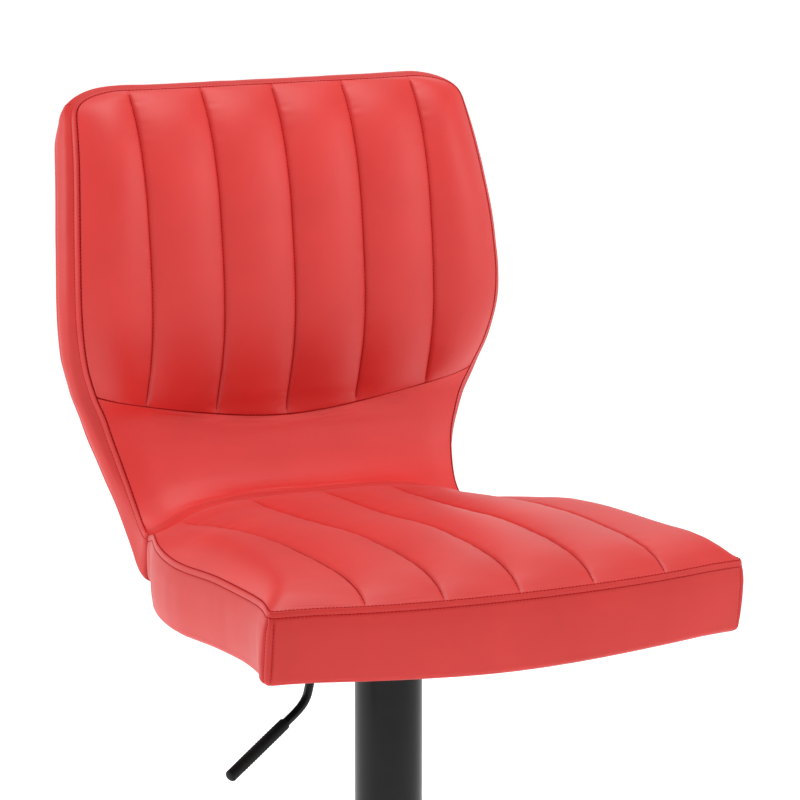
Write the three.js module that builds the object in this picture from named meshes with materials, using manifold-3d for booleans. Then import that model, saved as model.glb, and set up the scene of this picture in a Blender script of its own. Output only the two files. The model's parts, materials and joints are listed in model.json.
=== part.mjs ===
// Adjustable swivel bar stool: a channelled seat and back on one bent plywood shell, carried by a gas lift
// on a round base, with a footrest. Millimetres, +Z up, the sitter faces -Y. The origin is on the floor,
// on the column's axis. The seat is modelled at its lowest setting.
import * as THREE from "three";
import { mergeVertices } from "three/addons/utils/BufferGeometryUtils.js";
import Module from "manifold-3d";

const wasm = await Module();
wasm.setup();

// ---- driving dimensions --------------------------------------------------------------------------------

const GAP = 0.3; // between pieces that touch
const STROKE = 210; // travel of the gas lift
const SEAM_Z = 588; // height of the seam round the top of the seat
const BAND_DEPTH = 62; // height of the band round the seat
const SEAT_BOTTOM_Z = SEAM_Z - BAND_DEPTH;

const FRONT_BULGE = 16; // how far the front edge bows forward of its corners
const FRONT_BLEND = 110; // how far back the bow fades out
const TOP_CORNER_R = 22; // corners at the top of the back
const FLARE = 5; // how much wider the back is behind than at its seam, each side
const SKIN = 4; // thickness of the sewn bands
const COVER = 2.7; // thickness of the covers under the seat and behind the back
const PLY = 11; // thickness of the plywood shell
const PAD_GAP = 1; // between the soft pads and the shell

const BASE_R = 192.5;
const BASE_STEEL = 2;
const COLUMN_R = 25; // stand tube, fixed to the base
const COLUMN_WALL = 1.5;
const COLUMN_TOP_Z = 440;
const SLEEVE_R = 30; // sleeve tube, fixed to the seat
const SLEEVE_WALL = 1.5;
const SLEEVE_BOTTOM_Z = 222;
const CYLINDER_R = 14;
const CYLINDER_WALL = 2;
const CYLINDER_TOP_Z = SEAT_BOTTOM_Z - 23;
const ROD_R = 5;
const BUMP_TOP_Z = 62;
const CYLINDER_BOTTOM_Z = BUMP_TOP_Z + GAP;
const ROD_GUIDE_H = 20;
const PISTON_H = 12;

const PLATE_X = 200; // flange of the seat plate
const PLATE_Y = 170;
const PLATE_T = 2.5;
const PAN_X = 120; // its housing
const PAN_Y = 96;
const PAN_DEPTH = 31;
const BOLT_X = 80; // bolts through the flange, from the axis
const BOLT_Y = 65;

const LEVER_TURN = THREE.MathUtils.degToRad(17); // the lever points to -X, turned this far to the front
const LEVER_R = 4;
const LEVER_Z = SEAT_BOTTOM_Z - 14;
const LEVER_PIVOT = 24; // from the column's axis
const PIVOT_R = 1.6;
const GRIP_R = 5.6;
const EAR_W = 12; // ears that hold the pivot pin
const EAR_T = 2.5;
const EAR_Y = 9; // from the lever's plane

const FOOTREST_Z = 190;
const FOOTREST_R = 11;
const FOOTREST_REACH = 232;
const FOOTREST_HALF_W = 158;
const FOOTREST_CENTRE = 118; // of the oval, in front of the axis

// ---- helpers -------------------------------------------------------------------------------------------

const MATERIALS = {
  leather: new THREE.MeshStandardMaterial({ color: 0xd8474a, roughness: 0.5, metalness: 0 }),
  foam: new THREE.MeshStandardMaterial({ color: 0xe5d9b0, roughness: 0.95, metalness: 0 }),
  lining: new THREE.MeshStandardMaterial({ color: 0x1c1c1d, roughness: 0.95, metalness: 0 }),
  plywood: new THREE.MeshStandardMaterial({ color: 0xc79f6a, roughness: 0.75, metalness: 0 }),
  black_steel: new THREE.MeshStandardMaterial({ color: 0x2b2b2d, roughness: 0.38, metalness: 0.4 }),
  steel: new THREE.MeshStandardMaterial({ color: 0x9a9c9f, roughness: 0.35, metalness: 1 }),
  iron: new THREE.MeshStandardMaterial({ color: 0x3b3b3c, roughness: 0.8, metalness: 0.6 }),
  plastic: new THREE.MeshStandardMaterial({ color: 0x161617, roughness: 0.55, metalness: 0 }),
  rubber: new THREE.MeshStandardMaterial({ color: 0x151515, roughness: 0.85, metalness: 0 }),
};

const stool = new THREE.Group();

function add(name, geometry, material) {
  const mesh = new THREE.Mesh(geometry, MATERIALS[material]);
  mesh.name = name;
  stool.add(mesh);
  return mesh;
}

// A closed three.js geometry as a manifold-3d solid, turned the right way out.
function solid(geometry) {
  const bare = geometry.index ? geometry.toNonIndexed() : geometry.clone();
  bare.deleteAttribute("normal");
  bare.deleteAttribute("uv");
  const merged = mergeVertices(bare, 1e-4);
  const triVerts = new Uint32Array(merged.index.array);
  const vertProperties = merged.attributes.position.array;
  const made = new wasm.Manifold(new wasm.Mesh({ numProp: 3, vertProperties, triVerts }));
  if (made.volume() > 0) return made;
  for (let i = 0; i < triVerts.length; i += 3) {
    [triVerts[i + 1], triVerts[i + 2]] = [triVerts[i + 2], triVerts[i + 1]];
  }
  return new wasm.Manifold(new wasm.Mesh({ numProp: 3, vertProperties, triVerts }));
}

// A manifold-3d solid as a three.js geometry.
function geometryOf(made) {
  const { vertProperties, triVerts, numProp, numVert } = made.getMesh();
  const position = new Float32Array(numVert * 3);
  for (let i = 0; i < numVert; i++) {
    position.set(vertProperties.subarray(i * numProp, i * numProp + 3), i * 3);
  }
  const geometry = new THREE.BufferGeometry();
  geometry.setAttribute("position", new THREE.BufferAttribute(position, 3));
  geometry.setIndex(new THREE.BufferAttribute(triVerts, 1));
  const flat = geometry.toNonIndexed();
  flat.computeVertexNormals();
  return flat;
}

// A body of revolution about Z from a profile of [radius, z] points.
function turned(profile, segments = 24) {
  const closed = [...profile];
  const [first, last] = [profile[0], profile[profile.length - 1]];
  if (first[0] > 0 || last[0] > 0) closed.push(first);
  const points = closed.map(([r, z]) => new THREE.Vector2(r, z));
  return solid(new THREE.LatheGeometry(points, segments).rotateX(Math.PI / 2));
}

function tube(inner, outer, z0, z1, segments = 24) {
  return turned([[inner, z0], [outer, z0], [outer, z1], [inner, z1]], segments);
}

function disc(radius, z0, z1, segments = 24) {
  return turned([[0, z0], [radius, z0], [radius, z1], [0, z1]], segments);
}

// An upright cylinder away from the axis.
function post(x, y, radius, z0, z1, segments = 14) {
  return disc(radius, z0, z1, segments).translate([x, y, 0]);
}

// An upright prism on a rectangle with rounded corners, centred on the axis.
function roundedBox(width, depth, radius, z0, z1) {
  const [x, y] = [width / 2, depth / 2];
  const shape = new THREE.Shape();
  shape.absarc(x - radius, y - radius, radius, 0, Math.PI / 2);
  shape.absarc(radius - x, y - radius, radius, Math.PI / 2, Math.PI);
  shape.absarc(radius - x, radius - y, radius, Math.PI, 1.5 * Math.PI);
  shape.absarc(x - radius, radius - y, radius, 1.5 * Math.PI, 2 * Math.PI);
  const settings = { depth: z1 - z0, bevelEnabled: false, curveSegments: 3 };
  return solid(new THREE.ExtrudeGeometry(shape, settings).translate(0, 0, z0));
}

// A round bar along a curve.
function bar(curve, radius, steps, sides = 12) {
  const section = new THREE.Shape().absarc(0, 0, radius, 0, 2 * Math.PI);
  const settings = { steps, curveSegments: sides / 2, extrudePath: curve, bevelEnabled: false };
  return solid(new THREE.ExtrudeGeometry(section, settings));
}

// A hexagon-headed bolt pointing up, its head's underside at z.
function hexBolt(x, y, z, shank, length, across, head) {
  const hexagon = new THREE.CylinderGeometry(across / Math.sqrt(3), across / Math.sqrt(3), head, 6);
  hexagon.rotateX(Math.PI / 2).translate(x, y, z - head / 2);
  return solid(hexagon).add(post(x, y, shank, z - head / 2, z + length, 16));
}

const mirrored = [[1, 1], [-1, 1], [-1, -1], [1, -1]];

// ---- the shape of the upholstery -----------------------------------------------------------------------

// Stations along the side seam, from the front of the seat to the top of the back: the seam's y and its z
// above SEAM_Z, the band's depth, how far the padding stands above the seam, and the half width.
const STATIONS = [
  { y: -228, z: 0, depth: 62, crown: 0, half: 221 },
  { y: -212, z: 1, depth: 63, crown: 11, half: 217 },
  { y: -185, z: 0, depth: 62, crown: 18, half: 211 },
  { y: -140, z: 0, depth: 62, crown: 23, half: 207 },
  { y: -80, z: 0, depth: 62, crown: 25, half: 206 },
  { y: -20, z: -2, depth: 60, crown: 25, half: 207 },
  { y: 20, z: -3, depth: 59, crown: 23, half: 205 },
  { y: 60, z: -3, depth: 59, crown: 22, half: 196 },
  { y: 95, z: -5, depth: 57, crown: 22, half: 184 },
  { y: 128, z: -9, depth: 53, crown: 22, half: 171 },
  { y: 152, z: -11, depth: 47, crown: 20, half: 163 },
  { y: 168, z: -4, depth: 41, crown: 14, half: 161 },
  { y: 181, z: 8, depth: 38, crown: 10, half: 161 },
  { y: 193, z: 28, depth: 36, crown: 8, half: 164 },
  { y: 201, z: 47, depth: 35, crown: 5, half: 168 },
  { y: 205, z: 67, depth: 35, crown: 2, half: 174 },
  { y: 206, z: 87, depth: 35, crown: 1, half: 180 },
  { y: 204, z: 107, depth: 35, crown: 5, half: 187.5 },
  { y: 197, z: 135, depth: 35, crown: 11, half: 199 },
  { y: 191, z: 165, depth: 35, crown: 12, half: 205 },
  { y: 190, z: 195, depth: 35, crown: 12, half: 207 },
  { y: 193, z: 225, depth: 35, crown: 12, half: 206 },
  { y: 198, z: 255, depth: 35, crown: 13, half: 204 },
  { y: 206, z: 288, depth: 35, crown: 13, half: 201 },
  { y: 216, z: 321, depth: 35, crown: 13, half: 199 },
  { y: 228, z: 351, depth: 35, crown: 9, half: 197 },
  { y: 241, z: 378, depth: 35, crown: 2, half: 195 },
];
const LAST = STATIONS.length - 1;
const CREASE = 10.3; // the station of the seam between the seat and the back
const CROWN_POWER = 14; // how sharply the padding falls to the side seams
const SEAM_HALF = 0.06; // half the room that each cross seam leaves, in stations
const BAND_JOIN = 10.2; // where the seat's band is sewn to the back's
const CHANNELS_START = 15.5; // the seam under the back's channels, at the middle
const CHANNELS_START_SIDE = 17; // and at the sides
const CHANNELS_START_POWER = 1.6;

// The stations that every layer has a row of points at: closer where the shell bends and at the top corners.
const ROWS = [0, 0.5, 1, 2, 3, 4, 5, 6, 7, 8, 9, 9.5, 9.9, CREASE - SEAM_HALF, CREASE + SEAM_HALF];
for (let t = 10.75; t < 18; t += 0.5) ROWS.push(t);
for (let t = 18.5; t < LAST - 1.5; t += 1) ROWS.push(t);
const BLEND_STATIONS = 3; // a curved cross seam bends the rows this far from it
ROWS.push(LAST - 0.7, LAST - 0.45, LAST - 0.27, LAST - 0.17, LAST - 0.12, LAST);

const seamLine = new THREE.CatmullRomCurve3(
  STATIONS.map((s) => new THREE.Vector3(0, s.y, SEAM_Z + s.z)),
  false,
  "centripetal",
);
const sizes = new THREE.CatmullRomCurve3(
  STATIONS.map((s) => new THREE.Vector3(s.depth, s.crown, s.half)),
  false,
  "catmullrom",
);
const seamLength = seamLine.getLength();

// The seam's place, the direction from it towards the shell, and the sizes there.
function stationAt(t) {
  const share = THREE.MathUtils.clamp(t / LAST, 0, 1);
  const at = seamLine.getPoint(share);
  const along = seamLine.getTangent(share);
  const size = sizes.getPoint(share);
  return { at, inward: new THREE.Vector3(0, along.z, -along.y), depth: size.x, crown: size.y, half: size.z };
}

// The half width at a station, with the corners at the top of the back rounded.
function halfWidth(t, half, inset) {
  const toTop = ((LAST - t) / LAST) * seamLength + GAP;
  const radius = TOP_CORNER_R - inset;
  const rounding = toTop < radius ? radius - Math.sqrt(radius ** 2 - (radius - toTop) ** 2) : 0;
  return half - inset - rounding;
}

// A padded layer of the upholstery or the shell. across, from -1 to 1, runs over the width, between the two
// stations from(across) and to(across); near and far say how deep its two faces lie under the seam.
function layer({ inset, from, to, near, far, columns, trim = 0, spread = (a) => a }) {
  const middle = ROWS.filter((t) => t > from(1) + 0.04 && t < to(1) - 0.04);
  const rows = middle.length + 1;
  const box = new THREE.BoxGeometry(2, 1, 1, columns, rows, 1).translate(0, 0.5, 0.5);
  const position = box.attributes.position;
  for (let i = 0; i < position.count; i++) {
    const across = spread(position.getX(i));
    const row = Math.round(position.getY(i) * rows);
    const straight = [from(1), ...middle, to(1)][row];
    const startShift = (from(across) - from(1)) * Math.max(0, 1 - (straight - from(1)) / BLEND_STATIONS);
    const endShift = (to(across) - to(1)) * Math.max(0, 1 - (to(1) - straight) / BLEND_STATIONS);
    const t = straight + startShift + endShift;
    const s = stationAt(t);
    const face = position.getZ(i) < 0.5 ? near : far;
    const deep = face(s, across);
    const flare = FLARE * THREE.MathUtils.smoothstep(t, CREASE, CREASE + 5) * (deep / s.depth);
    const x = across * (halfWidth(t, s.half, inset) + Math.max(0, flare));
    const bow = FRONT_BULGE * (1 - Math.abs(x / STATIONS[0].half) ** 3);
    const fade = Math.max(0, 1 - (s.at.y - STATIONS[0].y) / FRONT_BLEND);
    const y = s.at.y + s.inward.y * deep - bow * fade + trim * fade;
    position.setXYZ(i, x, y, s.at.z + s.inward.z * deep);
  }
  return solid(box);
}

const always = (t) => () => t;
const channelsStart = (across) =>
  CHANNELS_START + (CHANNELS_START_SIDE - CHANNELS_START) * Math.abs(across) ** CHANNELS_START_POWER;
const padded = (s, across) => -s.crown * (1 - Math.abs(across) ** CROWN_POWER);
const towardsSides = (across) => Math.sin((across * Math.PI) / 2);
const onShell = (s) => s.depth - COVER - GAP - PLY - PAD_GAP;

// ---- the base ------------------------------------------------------------------------------------------

const WEIGHT_BOTTOM = 6.3;
const WEIGHT_TOP = 14;
const SOCKET_R = 29;
const SOCKET_FLANGE_R = 62;
const SOCKET_FLANGE_T = 4;
const SOCKET_TOP = 48;
const BASE_BOLT_R = 48; // radius of the bolt circle
const BASE_BOLTS = 4;

function buildBase() {
  const padTop = 3.5;
  const underRim = BASE_R - BASE_STEEL - 1;
  add(
    "floor_pad",
    geometryOf(turned([[0, 0], [BASE_R - 2, 0], [BASE_R - 0.5, 1.5], [BASE_R - 0.5, padTop],
      [underRim, padTop], [underRim, 6], [0, 6]], 40)),
    "rubber",
  );

  // The pressed steel cover: a skirt, a low dome and a trumpet up to the column.
  const outer = new THREE.CatmullRomCurve3(
    [[BASE_R, 11], [BASE_R - 8, 16.5], [150, 20], [100, 24], [62, 31], [42, 42], [34, 56]]
      .map(([r, z]) => new THREE.Vector3(r, z, 0)),
  );
  const steps = 8;
  const profile = outer.getPoints(steps).map((p) => [p.x, p.y]);
  const inside = profile.map(([r, z], i) => {
    const along = outer.getTangent(i / steps);
    return [r + along.y * -BASE_STEEL, z + along.x * BASE_STEEL];
  });
  const hem = padTop + GAP;
  const steel = [[BASE_R - BASE_STEEL, hem], [BASE_R, hem], ...profile, ...inside.reverse()];
  add("base_plate", geometryOf(turned(steel, 40)), "black_steel");

  const boltAt = (i) => {
    const turn = (Math.PI / 2) * (i + 0.5);
    return [BASE_BOLT_R * Math.cos(turn), BASE_BOLT_R * Math.sin(turn)];
  };
  const bolts = [...Array(BASE_BOLTS).keys()].map(boltAt);

  const head = 4;
  let weight = tube(30, 150, WEIGHT_BOTTOM, WEIGHT_TOP, 40);
  for (const [x, y] of bolts) {
    weight = weight.subtract(post(x, y, 8.5, 0, WEIGHT_BOTTOM + head + GAP)).subtract(post(x, y, 4.4, 0, 20));
  }
  add("base_weight", geometryOf(weight), "iron");

  let socket = turned([[COLUMN_R + GAP, WEIGHT_TOP + GAP], [SOCKET_FLANGE_R, WEIGHT_TOP + GAP],
    [SOCKET_FLANGE_R, WEIGHT_TOP + SOCKET_FLANGE_T], [SOCKET_R, WEIGHT_TOP + SOCKET_FLANGE_T],
    [SOCKET_R, SOCKET_TOP], [COLUMN_R + GAP, SOCKET_TOP]]);
  for (const [x, y] of bolts) socket = socket.subtract(post(x, y, 4.3, 0, 25));
  add("base_socket", geometryOf(socket), "steel");

  bolts.forEach(([x, y], i) => {
    const under = WEIGHT_BOTTOM + head;
    add(`base_bolt_${i + 1}`, geometryOf(hexBolt(x, y, under, 4, 10, 13, head - GAP)), "steel");
  });

  add(
    "base_trim_ring",
    geometryOf(turned([[COLUMN_R + GAP, 50], [31.4, 50], [31.4, 56.3], [36, 56.3], [35, 60], [30, 66],
      [COLUMN_R + GAP, 67]], 28)),
    "plastic",
  );
}

// ---- the column and the gas lift -----------------------------------------------------------------------

const END_PLATE_Z = 26;
const END_PLATE_T = 4;
const RACE_T = 2.4;
const BALL_R = 2;
const BALLS = 8;
const BALL_CIRCLE_R = 10.5;

function buildColumn() {
  const inner = COLUMN_R - COLUMN_WALL;
  add("stand_tube", geometryOf(tube(inner, COLUMN_R, WEIGHT_TOP + 1, COLUMN_TOP_Z, 40)), "black_steel");
  const endPlate = tube(ROD_R + 1, inner - GAP, END_PLATE_Z, END_PLATE_Z + END_PLATE_T);
  add("tube_end_plate", geometryOf(endPlate), "steel");

  const bore = CYLINDER_R + GAP;
  const bushTop = COLUMN_TOP_Z + GAP;
  add(
    "guide_bush",
    geometryOf(turned([[bore, COLUMN_TOP_Z - 95], [inner - GAP, COLUMN_TOP_Z - 95], [inner - GAP, bushTop],
      [COLUMN_R, bushTop], [COLUMN_R, bushTop + 2], [COLUMN_R - 2, bushTop + 4], [bore, bushTop + 4]])),
    "plastic",
  );

  let z = END_PLATE_Z + END_PLATE_T + GAP;
  add("lower_bearing_race", geometryOf(tube(ROD_R + 1, 14, z, z + RACE_T)), "steel");
  z += RACE_T + GAP;
  const ballZ = z + BALL_R;
  let cage = tube(BALL_CIRCLE_R - 3.4, BALL_CIRCLE_R + 3.2, ballZ - 0.8, ballZ + 0.8);
  for (let i = 0; i < BALLS; i++) {
    const turn = (2 * Math.PI * i) / BALLS;
    const [x, y] = [BALL_CIRCLE_R * Math.cos(turn), BALL_CIRCLE_R * Math.sin(turn)];
    cage = cage.add(solid(new THREE.SphereGeometry(BALL_R, 8, 5).translate(x, y, ballZ)));
  }
  add("bearing_cage", geometryOf(cage), "steel");
  z += 2 * BALL_R + GAP;
  add("upper_bearing_race", geometryOf(tube(ROD_R + GAP, 14, z, z + RACE_T)), "steel");
  z += RACE_T + GAP;
  add(
    "bump_stop",
    geometryOf(turned([[ROD_R + GAP, z], [13, z], [13, z + 6], [10.5, z + 9], [12, z + 13], [11, BUMP_TOP_Z],
      [ROD_R + GAP, BUMP_TOP_Z]], 24)),
    "rubber",
  );

  // The rod hangs in the bearing by a clip in its groove, and carries the piston.
  const rodTop = CYLINDER_BOTTOM_Z + STROKE + ROD_GUIDE_H + PISTON_H + 5;
  const grooveTop = END_PLATE_Z - 2;
  const groove = 1.4;
  add(
    "piston_rod",
    geometryOf(turned([[0, 16], [ROD_R - 1, 16], [ROD_R, 17], [ROD_R, grooveTop - groove - GAP],
      [ROD_R - 1.2, grooveTop - groove - GAP], [ROD_R - 1.2, grooveTop], [ROD_R, grooveTop],
      [ROD_R, rodTop], [0, rodTop]], 20)),
    "steel",
  );
  add("rod_washer", geometryOf(tube(ROD_R + GAP, 11, grooveTop + GAP, grooveTop + 1.6, 24)), "steel");
  const clip = tube(ROD_R - 0.9, 8, grooveTop - groove, grooveTop - GAP, 24);
  const mouth = solid(new THREE.BoxGeometry(7, 10, 6).translate(0, -5, grooveTop));
  add("rod_clip", geometryOf(clip.subtract(mouth)), "steel");
  const pistonTop = rodTop - 2;
  add(
    "piston",
    geometryOf(turned([[ROD_R + GAP, pistonTop - PISTON_H], [11, pistonTop - PISTON_H],
      [11.6, pistonTop - PISTON_H + 3], [11.6, pistonTop - 3], [11, pistonTop],
      [ROD_R + GAP, pistonTop]], 24)),
    "plastic",
  );

  const bodyBore = CYLINDER_R - CYLINDER_WALL;
  const taperStart = CYLINDER_TOP_Z - 34;
  add(
    "gas_cylinder",
    geometryOf(turned([[bodyBore, CYLINDER_BOTTOM_Z], [CYLINDER_R, CYLINDER_BOTTOM_Z],
      [CYLINDER_R, taperStart], [CYLINDER_R - 0.8, CYLINDER_TOP_Z - 1], [CYLINDER_R - 2, CYLINDER_TOP_Z],
      [2.6, CYLINDER_TOP_Z],
      [2.6, CYLINDER_TOP_Z - 5], [bodyBore - 0.8, CYLINDER_TOP_Z - 5], [bodyBore, CYLINDER_TOP_Z - 10]])),
    "black_steel",
  );
  add(
    "rod_guide",
    geometryOf(tube(ROD_R + GAP, bodyBore - GAP, CYLINDER_BOTTOM_Z + 1, CYLINDER_BOTTOM_Z + ROD_GUIDE_H, 24)),
    "plastic",
  );
  const valveTop = CYLINDER_TOP_Z - 11;
  add("valve_body", geometryOf(tube(2.6, bodyBore - GAP, valveTop - 24, valveTop, 24)), "plastic");
  add("release_pin", geometryOf(disc(2, valveTop - 20, LEVER_Z - LEVER_R - 0.6, 14)), "steel");
}

function buildSleeve() {
  const inner = SLEEVE_R - SLEEVE_WALL;
  const top = SEAT_BOTTOM_Z - PAN_DEPTH - 2 * GAP;
  add("sleeve_tube", geometryOf(tube(inner, SLEEVE_R, SLEEVE_BOTTOM_Z, top, 48)), "black_steel");
  add("sleeve_cap", geometryOf(tube(17.6, inner - GAP, top - 12, top - 1, 32)), "plastic");
  const lip = SLEEVE_BOTTOM_Z - GAP;
  add(
    "sleeve_end_bush",
    geometryOf(turned([[COLUMN_R + GAP, lip - 4], [SLEEVE_R - 1.5, lip - 4], [SLEEVE_R, lip - 2],
      [SLEEVE_R, lip], [inner - GAP, lip], [inner - GAP, lip + 22], [COLUMN_R + GAP, lip + 22]], 28)),
    "plastic",
  );
}

// ---- the footrest --------------------------------------------------------------------------------------

function buildFootrest() {
  const collarR = 32;
  const half = 19;
  const [low, high] = [FOOTREST_Z - half, FOOTREST_Z + half];
  const c = 1.5;
  let collar = turned([[COLUMN_R + GAP, low], [collarR - c, low], [collarR, low + c], [collarR, high - c],
    [collarR - c, high], [COLUMN_R + GAP, high]], 28);

  // The loop starts and ends at the collar's sides, and runs round in an oval.
  const ends = THREE.MathUtils.degToRad(148);
  const steps = 14;
  const points = [new THREE.Vector3(-collarR + 4, -4, FOOTREST_Z)];
  for (let i = 0; i <= steps; i++) {
    const turn = -ends + (2 * ends * i) / steps;
    const y = -FOOTREST_CENTRE - (FOOTREST_REACH - FOOTREST_R - FOOTREST_CENTRE) * Math.cos(turn);
    points.push(new THREE.Vector3((FOOTREST_HALF_W - FOOTREST_R) * Math.sin(turn), y, FOOTREST_Z));
  }
  points.push(new THREE.Vector3(collarR - 4, -4, FOOTREST_Z));
  const route = new THREE.CatmullRomCurve3(points, false, "centripetal");
  const clearOfCollar = disc(collarR + GAP, low - 5, high + 5, 28);
  const loop = bar(route, FOOTREST_R, 40, 10).subtract(clearOfCollar);
  add("footrest_bar", geometryOf(loop), "black_steel");

  // Two socket screws at the back of the collar clamp it to the column.
  for (const side of [-1, 1]) {
    const turn = Math.PI / 2 + side * 0.45;
    const screwAt = (geometry) => {
      geometry.rotateZ(-Math.PI / 2).translate(COLUMN_R + 6.5, 0, FOOTREST_Z);
      return solid(geometry.rotateZ(turn));
    };
    const length = 11;
    const screw = screwAt(new THREE.CylinderGeometry(3.8, 3.8, length, 16));
    const socket = screwAt(new THREE.CylinderGeometry(2.2, 2.2, length, 6).translate(0, length - 4, 0));
    collar = collar.subtract(screwAt(new THREE.CylinderGeometry(4.1, 4.1, 3 * length, 16)));
    add(`footrest_screw_${side > 0 ? "left" : "right"}`, geometryOf(screw.subtract(socket)), "steel");
  }
  add("footrest_collar", geometryOf(collar), "black_steel");
}

// ---- under the seat ------------------------------------------------------------------------------------

// The lever's pivot pin, or the bore for it.
function pivotPin(radius) {
  const pin = new THREE.CylinderGeometry(radius, radius, 2 * EAR_Y + EAR_T + 2, 14);
  return solid(pin.translate(-LEVER_PIVOT, 0, LEVER_Z).rotateZ(LEVER_TURN));
}

function buildSeatPlate() {
  const top = SEAT_BOTTOM_Z - GAP;
  const floor = top - PAN_DEPTH;
  const flange = roundedBox(PLATE_X, PLATE_Y, 14, top - PLATE_T, top);
  const outside = roundedBox(PAN_X, PAN_Y, 12, floor, top - PLATE_T / 2);
  const inside = roundedBox(PAN_X - 2 * PLATE_T, PAN_Y - 2 * PLATE_T, 10, floor + PLATE_T, top + 5);
  let plate = flange.add(outside).subtract(inside).subtract(disc(17.5, floor - 5, floor + 10));
  for (const [sx, sy] of mirrored) {
    plate = plate.subtract(post(sx * BOLT_X, sy * BOLT_Y, 3.6, top - 10, top + 5));
  }

  // The slot that the lever leaves by.
  const slot = new THREE.BoxGeometry(50, 13, 19).translate(-PAN_X / 2 - 4, 0, LEVER_Z + 1);
  plate = plate.subtract(solid(slot.rotateZ(LEVER_TURN)));

  // Two ears stand on the housing's floor and hold the lever's pivot pin.
  const earH = LEVER_Z + 5 - floor - 1;
  for (const side of [-1, 1]) {
    const ear = new THREE.BoxGeometry(EAR_W, EAR_T, earH);
    ear.translate(-LEVER_PIVOT, side * EAR_Y, floor + 1 + earH / 2);
    plate = plate.add(solid(ear.rotateZ(LEVER_TURN)));
  }
  plate = plate.subtract(pivotPin(PIVOT_R + GAP / 2));
  add("seat_plate", geometryOf(plate), "black_steel");

  const [socketLow, socketHigh] = [CYLINDER_TOP_Z - 33, CYLINDER_TOP_Z - 1];
  const bore = CYLINDER_R + GAP;
  const socket = turned([[bore, socketLow], [17.2, socketLow], [17.2, socketHigh], [bore - 0.8, socketHigh]]);
  add("taper_socket", geometryOf(socket), "steel");

  const washerTop = top - PLATE_T - GAP;
  mirrored.forEach(([sx, sy], i) => {
    const [x, y] = [sx * BOLT_X, sy * BOLT_Y];
    const washer = tube(3.4, 8, washerTop - 1.4, washerTop, 16).translate([x, y, 0]);
    add(`plate_washer_${i + 1}`, geometryOf(washer), "steel");
    const under = washerTop - 1.4 - GAP;
    add(`plate_bolt_${i + 1}`, geometryOf(hexBolt(x, y, under, 3, 17, 10, 4.2)), "steel");
  });
}

function buildLever() {
  const along = new THREE.Vector3(-Math.cos(LEVER_TURN), -Math.sin(LEVER_TURN), 0);
  const at = (reach, z) => along.clone().multiplyScalar(reach).setZ(z);
  const rest = LEVER_Z;
  const gripStart = at(123, rest - 71);
  const gripEnd = at(191, rest - 109);
  const route = new THREE.CatmullRomCurve3([
    at(-6, rest), at(20, rest), at(44, rest), at(63, rest - 1), at(80, rest - 8), at(91, rest - 24),
    at(96, rest - 44), at(100, rest - 54), at(108, rest - 62), gripStart,
    gripStart.clone().lerp(gripEnd, 0.45), gripStart.clone().lerp(gripEnd, 0.85),
  ], false, "centripetal");
  const rod = bar(route, LEVER_R, 26, 10);

  // The pivot pin crosses the rod, and the seat plate holds its ends.
  add("lever_pivot_pin", geometryOf(pivotPin(PIVOT_R)), "steel");
  add("lever_rod", geometryOf(rod.subtract(pivotPin(PIVOT_R + GAP))), "black_steel");

  const gripLine = new THREE.LineCurve3(gripStart, gripEnd);
  const sheath = bar(gripLine, GRIP_R, 1, 16);
  const hollowLine = new THREE.LineCurve3(gripLine.getPoint(-0.1), gripLine.getPoint(0.9));
  add("lever_grip", geometryOf(sheath.subtract(bar(hollowLine, LEVER_R + 0.4, 1, 16))), "rubber");
}

// ---- the shell and the upholstery ----------------------------------------------------------------------

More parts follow.
